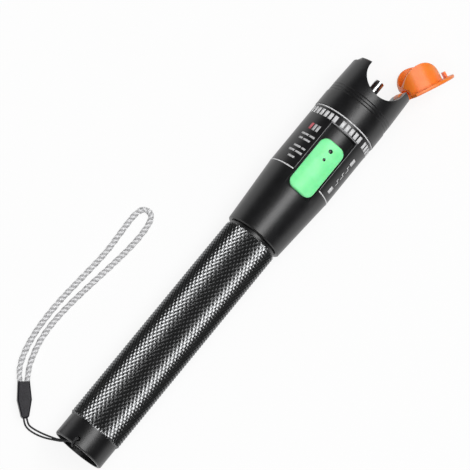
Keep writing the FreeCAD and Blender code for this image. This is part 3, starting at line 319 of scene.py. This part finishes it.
lace_path, lace_run = traced("LaceLine", LACE, step=0.00018)
lace_mesh = skin("Lace", plaited(lace_path, lace_run), ends=True)
faced_out(lace_mesh)
lace = placed("lanyard_cord_look", lace_mesh)
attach(lace, "handle")
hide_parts("lanyard_cord")
lace_mesh.materials.append(mottled(
    "LaceBlack", roughness=0.7, scale=2600, dark=(0.008, 0.008, 0.009),
    light=(0.035, 0.035, 0.038), bump=dict(scale=3500, strength=0.8, distance=0.0001)))

# ------------------------------------------------------------------ wrist strap
# A soft round braid of eight silver-white strands, folded into one loop whose two ends are
# moulded into the clasp.  Near them it is drawn a little thinner.
STRAP = [
    (5.85, 29.62, 1.7), (9.0, 33.4, 1.3), (15.6, 36.3, 1.2), (24.5, 38.0, 1.2),
    (36.0, 38.5, 1.2), (49.0, 37.6, 1.2), (62.0, 36.6, 1.2), (72.0, 37.2, 1.2),
    (79.5, 37.6, 1.2), (83.7, 36.5, 1.2), (84.0, 32.7, 1.2), (80.0, 31.2, 1.2),
    (72.5, 30.9, 1.2), (62.0, 31.9, 1.2), (49.0, 33.7, 1.2), (36.0, 35.2, 1.2),
    (24.5, 35.1, 1.2), (15.8, 32.9, 1.2), (11.0, 30.6, 1.3), (7.31, 27.98, 1.7),
]
THINNEST, THIN_RUN = 0.86, 0.012
strap_path, strap_run = traced("StrapLine", STRAP, step=0.0004)
strap_side, strap_top = untwisted(strap_path)
from_end = np.minimum(strap_run, strap_run[-1] - strap_run)
strap_full = THINNEST + (1 - THINNEST) * np.clip(from_end / THIN_RUN, 0, 1)


def braid_strand(number, turn, radius=0.8, rise=0.16, lay=3.6, half_wide=0.37, half_thick=0.2):
    """One strand of the braid: a helix that rises over and dips under those that cross it.

    Its middle circles the path once in each lay; its distance from the path is the radius
    plus the rise times the sine of four turns, up for one hand and down for the other."""
    phase = 2 * math.pi * strap_run * 1000 / lay
    angle = turn * phase + (number + (0.5 if turn < 0 else 0.0)) * math.pi / 2
    outward = np.cos(angle)[:, None] * strap_side + np.sin(angle)[:, None] * strap_top
    lift = (radius + turn * rise * np.sin(4 * phase)) * strap_full
    middle = strap_path + outward * lift[:, None] / 1000
    forward = np.gradient(middle, axis=0)
    forward /= np.linalg.norm(forward, axis=1)[:, None]
    wide = np.cross(forward, outward)
    wide /= np.linalg.norm(wide, axis=1)[:, None]
    turns = np.linspace(0, 2 * math.pi, 8, endpoint=False)
    return (middle[:, None, :]
            + half_wide / 1000 * np.cos(turns)[None, :, None] * wide[:, None, :]
            + half_thick / 1000 * np.sin(turns)[None, :, None] * outward[:, None, :])


def gathered(name, parts):
    """One mesh made of several, which are used up."""
    joiner = bmesh.new()
    for part in parts:
        joiner.from_mesh(part)
        bpy.data.meshes.remove(part)
    mesh = bpy.data.meshes.new(name)
    joiner.to_mesh(mesh)
    joiner.free()
    return mesh


WHITE_YARN, GREY_YARN, SHADE_CORE_YARN = 0, 1, 2
yarns = []
for turn in (1, -1):
    for number in range(4):
        shade = GREY_YARN if number % 2 else WHITE_YARN
        yarns.append((braid_strand(number, turn), shade))
# The core is near black so that the gaps between the strands show painted shade.
yarns.append((plaited(strap_path, strap_run, radius=0.62, dent=0.1), SHADE_CORE_YARN))
strands = []
for spots, shade in yarns:
    strand = skin("Yarn", spots, ends=True)
    strand.polygons.foreach_set("material_index", [shade] * len(strand.polygons))
    strands.append(strand)
strap_mesh = gathered("Strap", strands)
faced_out(strap_mesh)
strap = placed("wrist_strap_look", strap_mesh)
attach(strap, "handle")
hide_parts("wrist_strap")
# The third and darkest material, on the core, is painted shade for the gaps between the strands.
for name, dark, light in (("StrapWhite", 0.68, 0.88), ("StrapGrey", 0.36, 0.54),
                          ("StrapCoreShade", 0.1, 0.2)):
    strap_mesh.materials.append(mottled(
        name, roughness=0.6, scale=1500, dark=(dark, dark, dark * 1.02),
        light=(light, light, light * 1.01), sheen_weight=0.2,
        bump=dict(scale=5000, strength=0.5, distance=0.0001)))

# ------------------------------------------------------------------ clasp
# A small black moulding, widest in its middle, that grips the strap's two ends at one side
# and the cord's two ends at the other.
BODY_OF = {node: body for body, members in record["behaviour"]["bodies"].items()
           for node in members}
SHARP = 30


def merged(node, material, sharp=SHARP):
    """The node's own shape with its loose triangles joined and its round faces smooth.

    Edges that turn by more than the sharp angle, in degrees, stay sharp."""
    mesh = frame["nodes"][node].data.copy()
    joiner = bmesh.new()
    joiner.from_mesh(mesh)
    bmesh.ops.remove_doubles(joiner, verts=joiner.verts, dist=1e-6)
    joiner.to_mesh(mesh)
    joiner.free()
    if "custom_normal" in mesh.attributes:
        mesh.attributes.remove(mesh.attributes["custom_normal"])
    mesh.polygons.foreach_set("use_smooth", [True] * len(mesh.polygons))
    mesh.set_sharp_from_angle(angle=math.radians(sharp))
    mesh.materials.clear()
    mesh.materials.append(material)
    made = placed(node + "_look", mesh)
    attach(made, BODY_OF[node])
    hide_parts(node)
    return made


clasp = merged("lanyard_clasp", mottled(
    "ClaspBlack", roughness=0.3, scale=900, dark=(0.006, 0.005, 0.008),
    light=(0.012, 0.011, 0.016), specular_ior_level=0.16,
    bump=dict(scale=2500, strength=0.25, distance=0.0001)))

# ------------------------------------------------------------------ battery tube
# Turned aluminium, knurled over the grip and anodised black.  The plain recessed tail has the
# lanyard's hole, and the spigot at the front has a sealing groove and then a rolled thread.
TAIL_LEN, TAIL_RADIUS = 8.6, 10.0
SHOULDER, GRIP_RADIUS, GRIP_CORE = 98.2, 10.5, 9.9
GROOVE_FRONT, THREAD_FRONT = 101.0, 107.1
THREAD_TIP, THREAD_DEPTH, THREAD_CORE = 9.2, 0.45, 8.7
SLACK = 0.05
anodised = mottled(
    "BlackAnodising", roughness=0.34, scale=240, dark=(0.004, 0.004, 0.0045),
    light=(0.008, 0.008, 0.009), detail=5.0, specular_ior_level=0.66,
    bump=dict(scale=4200, strength=0.18, distance=0.00008))
tube = merged("battery_tube", anodised)

# The plain surfaces under the knurl and under the thread are drawn in, out of their way.
spots = np.empty(len(tube.data.vertices) * 3)
tube.data.vertices.foreach_get("co", spots)
local = (spots.reshape(-1, 3) - TAIL) * 1000
along, across, up = local @ ALONG, local @ ACROSS, local @ UP
radius = np.hypot(across, up)
under_grip = ((along > TAIL_LEN - SLACK) & (along < SHOULDER + SLACK)
              & (radius > TAIL_RADIUS + SLACK))
under_thread = (along > GROOVE_FRONT - SLACK) & (radius > THREAD_TIP - THREAD_DEPTH)
shrink = np.where(under_grip, GRIP_CORE / np.maximum(radius, 1), 1.0)
shrink = np.where(under_thread, THREAD_CORE / np.maximum(radius, 1), shrink)
tube.data.vertices.foreach_set("co", on_pen(along, across * shrink, up * shrink).ravel())


def knurl(turns=47, lead=2.36, depth=0.5, lip=0.05, lip_rise=0.05, margin=0.15,
          fade_from=0.1, fade_over=0.4):
    """The grip: rows of pointed diamonds between two crossing sets of helical grooves.

    A point is the pair of its turns counted along the two helices.  Its angle is half their
    sum and its length half their difference.  Each groove is lowest where its count is whole,
    a little higher at its lips and highest half-way; the lower of the two heights holds."""
    steps = np.array([0.0, lip, 0.5, 1 - lip])
    rise = np.array([0.0, lip_rise, 1.0, lip_rise])
    rows = int((SHOULDER - TAIL_LEN - 2 * margin) / lead * 2) * 4
    row, column = np.mgrid[0:rows + 1, 0:turns * 4]
    left = column - row
    right_turn = column // 4 + steps[column % 4]
    left_turn = left // 4 + steps[left % 4]
    along = TAIL_LEN + margin + (right_turn - left_turn) / 2 * lead
    from_edge = np.minimum(along - TAIL_LEN, SHOULDER - along)
    fade = np.clip((from_edge - fade_from) / fade_over, 0, 1)
    height = np.minimum(rise[column % 4], rise[left % 4])
    radius = GRIP_CORE + fade * (GRIP_RADIUS - GRIP_CORE - depth * (1 - height))
    angle = (right_turn + left_turn) / 2 * 2 * math.pi / turns
    return on_pen(along, radius * np.sin(angle), radius * np.cos(angle))


def diamonds(rows, columns):
    """Two triangles between a point, its next two along both helices, and the far one.

    They part along the line that runs from a diamond's corner to its peak."""
    index = np.arange(rows * columns).reshape(rows, columns)
    after = np.roll(index, -1, axis=1)
    near, right, far, left = index[1:-1], after[2:], after[1:-1], index[:-2]
    row, column = np.mgrid[1:rows - 1, 0:columns]
    straight = ((column % 4 < 2) == ((column - row) % 4 < 2))[..., None]
    first = np.where(straight, np.stack([near, right, far], -1), np.stack([near, right, left], -1))
    second = np.where(straight, np.stack([near, far, left], -1), np.stack([right, far, left], -1))
    return np.concatenate([first.reshape(-1, 3), second.reshape(-1, 3)]).tolist()


grip_mesh = skin("Grip", knurl(), triangles=diamonds)
faced_out(grip_mesh, fill=True)
grip_mesh.set_sharp_from_angle(angle=math.radians(SHARP))
grip = placed("grip_knurl", grip_mesh)
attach(grip, "handle")
grip_mesh.materials.append(mottled(
    "GripAnodising", roughness=0.19, metallic=1.0, scale=240, dark=(0.2, 0.203, 0.205),
    light=(0.25, 0.253, 0.256), detail=5.0))


def thread(start, end, tip, depth, pitch=1.0, around=96, per_turn=8, fade_over=0.4):
    """A rolled thread: the radius falls and rises with the turn plus the distance along.

    The wave between root and tip is steepened and cut off, so both are a little flat."""
    steps = int((end - start) / pitch * per_turn) + 1
    place, angle = np.meshgrid(np.linspace(start, end, steps),
                               2 * math.pi * np.arange(around) / around, indexing="ij")
    wave = np.abs(((place / pitch + angle / (2 * math.pi)) % 1.0) * 2 - 1)
    fade = np.clip(np.minimum(place - start, end - place) / fade_over, 0, 1)
    radius = tip - depth + depth * fade * np.clip(wave * 1.4 - 0.2, 0, 1)
    return on_pen(place, radius * np.sin(angle), radius * np.cos(angle))


thread_mesh = skin("Thread", thread(GROOVE_FRONT + SLACK, THREAD_FRONT, THREAD_TIP,
                                    THREAD_DEPTH), ends=True)
spigot_thread = placed("spigot_thread", thread_mesh)
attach(spigot_thread, "handle")
thread_mesh.materials.append(anodised)

# ------------------------------------------------------------------ sealing ring
# A black rubber ring, stretched into the spigot's groove in front of the tube's shoulder,
# keeps dust out of the thread.
ring_rubber = mottled("RingRubber", roughness=0.6, scale=1200, dark=(0.012, 0.012, 0.012),
                      light=(0.03, 0.03, 0.03))
merged("seal_ring", ring_rubber)

# ------------------------------------------------------------------ cells and tail spring
# Two AA cells lie end to end in the bore with their buttons towards the head; a conical
# steel spring on the tube's floor pushes them onto the front contact.


def pen_length(tree):
    """Millimetres along the pen from the tail's rim, out of the object's coordinates."""
    place = tree.nodes.new("ShaderNodeTexCoord")
    dot = tree.nodes.new("ShaderNodeVectorMath")
    dot.operation = "DOT_PRODUCT"
    dot.inputs[1].default_value = ALONG * 1000
    shift = tree.nodes.new("ShaderNodeMath")
    shift.operation = "SUBTRACT"
    shift.inputs[1].default_value = float(TAIL @ ALONG * 1000)
    tree.links.new(place.outputs["Object"], dot.inputs[0])
    tree.links.new(dot.outputs["Value"], shift.inputs[0])
    return shift.outputs[0]


def banded(tree, surface, stops):
    """Plain fields of colour along the pen: each stop is a length in mm and its colour."""
    share = tree.nodes.new("ShaderNodeMapRange")
    share.inputs["From Min"].default_value = stops[0][0]
    share.inputs["From Max"].default_value = stops[-1][0]
    ramp = tree.nodes.new("ShaderNodeValToRGB")
    ramp.color_ramp.interpolation = "CONSTANT"
    span = stops[-1][0] - stops[0][0]
    while len(ramp.color_ramp.elements) < len(stops):
        ramp.color_ramp.elements.new(1.0)
    for element, (place, colour) in zip(ramp.color_ramp.elements, stops):
        element.position = (place - stops[0][0]) / span
        element.color = (*colour, 1)
    tree.links.new(pen_length(tree), share.inputs["Value"])
    tree.links.new(share.outputs[0], ramp.inputs["Fac"])
    tree.links.new(ramp.outputs["Color"], surface.inputs["Base Color"])


STEEL, BLUE, PALE = (0.62, 0.62, 0.64), (0.03, 0.12, 0.36), (0.7, 0.72, 0.75)
jacket, tree, surface = shader("CellJacket", 0.3, coat_weight=0.4)
banded(tree, surface, [
    (12.4, STEEL), (13.2, BLUE), (49.0, PALE), (50.2, BLUE), (61.2, STEEL), (63.8, BLUE),
    (99.5, PALE), (100.7, BLUE), (111.6, STEEL), (114.0, STEEL)])
grain(tree, surface, scale=900, strength=0.06, distance=0.0002)
for node in ("cell_rear", "cell_front"):
    merged(node, jacket)

spring_steel = mottled("SpringSteel", roughness=0.25, metallic=1.0, scale=1800,
                       dark=(0.5, 0.5, 0.51), light=(0.72, 0.72, 0.74))
merged("tail_spring", spring_steel, sharp=60)

# ------------------------------------------------------------------ head housing
# One turned and milled aluminium part: cone, straight band, bead and crown with two prongs.
# It is bead-blasted, anodised black, and printed in white round the switch.
HEAD_REAR, BAND_REAR, BAND_FRONT = 98.6, 124.6, 151.2
CONE_RADIUS, BAND_RADIUS = 11.15, 12.8
head = merged("head_housing", mottled(
    "HeadAnodising", roughness=0.34, scale=260, dark=(0.004, 0.004, 0.0045),
    light=(0.008, 0.008, 0.009), detail=6.0, specular_ior_level=0.66,
    bump=dict(scale=5200, strength=0.16, distance=0.00008)))


def head_radius(place):
    """The head's outside radius in mm: the cone, then the straight band."""
    return np.interp(place, [HEAD_REAR, BAND_REAR, BAND_FRONT],
                     [CONE_RADIUS, BAND_RADIUS, BAND_RADIUS])


def printed(name, patches, colour, proud=0.045, facet=3):
    """Flat printed marks: each patch spans two lengths in mm and two angles in degrees.

    Angles are from the button's middle.  A facet is at most so many mm or degrees wide."""
    parts = []
    for start, end, low, high in patches:
        lengths = np.linspace(start, end, max(2, int((end - start) / facet) + 2))
        angles = np.radians(np.linspace(low, high, max(2, int(abs(high - low) / facet) + 2)))
        place, angle = np.meshgrid(lengths, angles, indexing="ij")
        radius = head_radius(place) + proud
        spots = on_pen(place, radius * np.sin(angle), radius * np.cos(angle))
        parts.append(skin(name, spots, around=False))
    mesh = gathered(name, parts)
    made = placed(name, mesh)
    mesh.materials.append(mottled(
        name + "_ink", roughness=0.5, scale=1600,
        dark=tuple(channel * 0.82 for channel in colour), light=colour))
    thick = made.modifiers.new("Thickness", "SOLIDIFY")
    thick.thickness = 0.00004
    thick.offset = 0
    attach(made, "head")


WHITE, PALE_GREY = (0.78, 0.78, 0.79), (0.55, 0.55, 0.56)
GREY, RED = (0.3, 0.3, 0.31), (0.62, 0.12, 0.15)

# Two rings, the rear one broken by the switch, and a row of plain bars behind the front one.
printed("print_rings", [(124.45, 124.9, 28.5, 331.5), (150.6, 151.05, 0, 360)], WHITE)
BAR, BAR_PITCH, ROW_GAP = 6.4, 9.4, 6.0
title = []
angle = -92.0
for bars in (6, 5, 7):
    for bar in range(bars):
        title.append((147.0, 149.6, angle, angle + BAR))
        angle += BAR_PITCH
    angle += ROW_GAP
printed("print_title", title, WHITE)

# A line round three sides of the switch, with plain blocks and dashes on its one side.
REAR, FRONT, INNER, OUTER, LINE = 125.2, 146.9, 27.6, 28.4, 0.4
printed("print_outline", [(REAR, FRONT, INNER, OUTER), (REAR, FRONT, -OUTER, -INNER),
                          (FRONT - LINE, FRONT, -INNER, INNER)], GREY)
BLOCK, DASH = (140.4, 143.0), 0.8
notes = [(*BLOCK, 37.0, 42.0), (*BLOCK, 44.0, 49.0)]
for place, dashes in ((137.6, ((33, 44), (46, 62))), (135.6, ((36, 50), (52, 60))),
                      (132.2, ((33, 41), (43, 58))), (130.2, ((33, 47), (49, 62))),
                      (127.8, ((40, 54),))):
    notes += [(place, place + DASH, low, high) for low, high in dashes]
printed("print_notes", notes, PALE_GREY)
printed("print_red_field", [(*BLOCK, 51.5, 57.0)], RED)

# On its other side, a square wave between two blocks.
TROUGH, CREST = (-51.5, -50.2), (-46.3, -45.0)
wave = [(127.0, 129.6, -52.0, -44.0), (139.8, 142.4, -52.0, -44.0)]
for start in (130.6, 133.6, 136.6):
    wave += [(start, start + 1.7, *TROUGH), (start + 1.5, start + 1.8, TROUGH[0], CREST[1]),
             (start + 1.7, start + 2.6, *CREST)]
printed("print_wave", wave, WHITE)

# ------------------------------------------------------------------ front contact
# A black plastic cup screwed into the head's chamber holds a brass contact on a rivet.
cup_black = mottled("CupBlack", roughness=0.55, scale=700, dark=(0.02, 0.02, 0.022),
                    light=(0.04, 0.04, 0.042),
                    bump=dict(scale=2500, strength=0.3, distance=0.0001))
merged("contact_carrier", cup_black)
brass = mottled("Brass", roughness=0.28, metallic=1.0, scale=500, dark=(0.62, 0.42, 0.16),
                light=(0.78, 0.57, 0.27), detail=5.0,
                bump=dict(scale=3000, strength=0.08, distance=0.00006))
merged("front_contact", brass)

# ------------------------------------------------------------------ circuit board
# A green board along the chamber, held in the cup's slot, with the laser's driver chip and
# a few chip resistors soldered on its upper side.
lacquer = mottled("BoardLacquer", roughness=0.3, scale=420, dark=(0.01, 0.09, 0.035),
                  light=(0.02, 0.16, 0.06), detail=4.0, coat_weight=0.3)
merged("circuit_board", lacquer)
chip_black = mottled("ChipBlack", roughness=0.5, scale=2500, dark=(0.012, 0.012, 0.013),
                     light=(0.03, 0.03, 0.032))
merged("driver_chip", chip_black)
ceramic = mottled("Ceramic", roughness=0.4, scale=3500, dark=(0.03, 0.03, 0.035),
                  light=(0.5, 0.48, 0.44))
merged("chip_resistors", ceramic)

# ------------------------------------------------------------------ slide switch and button
# A steel-cased slide switch on the board; its black lever stands up into the stem of the
# green moulded button, which slides in the head's slot.
case_steel = mottled("SwitchCase", roughness=0.35, metallic=1.0, scale=900,
                     dark=(0.5, 0.5, 0.52), light=(0.7, 0.7, 0.71))
merged("slide_switch", case_steel)
merged("switch_lever", cup_black)
button = merged("switch_button", mottled(
    "ButtonGreen", roughness=0.34, scale=320, dark=(0.21, 0.9, 0.35),
    light=(0.28, 0.96, 0.43), subsurface_weight=0.15, subsurface_scale=0.001,
    specular_ior_level=0.4, bump=dict(scale=2600, strength=0.12, distance=0.0001)))


def dot(place, radius, top, foot, around=24, edge=0.06, hub=0.02):
    """A small round plug standing on the button's axis, with a bevelled edge at its top.

    Its rings lie at the foot, under the edge, inside the edge and close round the axis."""
    turns = 2 * math.pi * np.arange(around) / around
    heights = np.array([foot, top - edge, top, top])[:, None]
    radii = np.array([radius, radius, radius - edge, hub])[:, None]
    return on_pen(place + radii * np.cos(turns), radii * np.sin(turns),
                  heights + 0 * turns)


# Near-black plugs sit in the button's two dimples: their black is painted shade for the dimples'
# hollows.
dimple_shade = mottled("DimpleShadeBlack", roughness=0.25, scale=3000, dark=(0.004, 0.006, 0.005),
                light=(0.012, 0.02, 0.014))
for name, place, radius in (("button_dot_front", 137.6, 0.81), ("button_dot_rear", 133.8, 0.61)):
    mesh = skin(name, dot(place, radius, top=13.74, foot=13.15)[:, ::-1], ends=True)
    mesh.materials.append(dimple_shade)
    made = placed(name, mesh)
    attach(made, "button")

# ------------------------------------------------------------------ laser barrel
# Turned brass, clamped in the head's web between its flange and a slotted ring nut.  Inside
# are the laser diode with its ring, and the lens in a screwed cell.
for node in ("laser_barrel", "barrel_nut", "diode_retainer", "lens_cell"):
    merged(node, brass)
nickel = mottled("Nickel", roughness=0.2, metallic=1.0, scale=800, dark=(0.66, 0.66, 0.67),
                 light=(0.8, 0.8, 0.8), detail=4.0,
                 bump=dict(scale=2600, strength=0.05, distance=0.00005))
merged("laser_diode", nickel)
lens_glass = mottled("LensGlass", roughness=0.02, scale=300, dark=(0.93, 0.96, 0.97),
                     light=(0.98, 1.0, 1.0), transmission_weight=1.0, ior=1.52)
merged("focusing_lens", lens_glass, sharp=60)

# ------------------------------------------------------------------ fibre port
# A nickel-plated tube, bored for a ferrule, stands between the crown's prongs in line with
# the lens.
merged("port_tube", nickel)

# ------------------------------------------------------------------ dust cap and hinge
# An orange moulded cap turns on a steel pin through the near prong.  Its skirt has two lobes
# that fill the crown's opening when it is shut.
merged("hinge_pin", nickel)
orange = mottled("CapOrange", roughness=0.36, scale=180, dark=(0.93, 0.19, 0.015),
                 light=(0.98, 0.26, 0.03), subsurface_weight=0.12, subsurface_scale=0.002,
                 specular_ior_level=0.45, bump=dict(scale=2200, strength=0.15, distance=0.0001))
merged("dust_cap", orange)
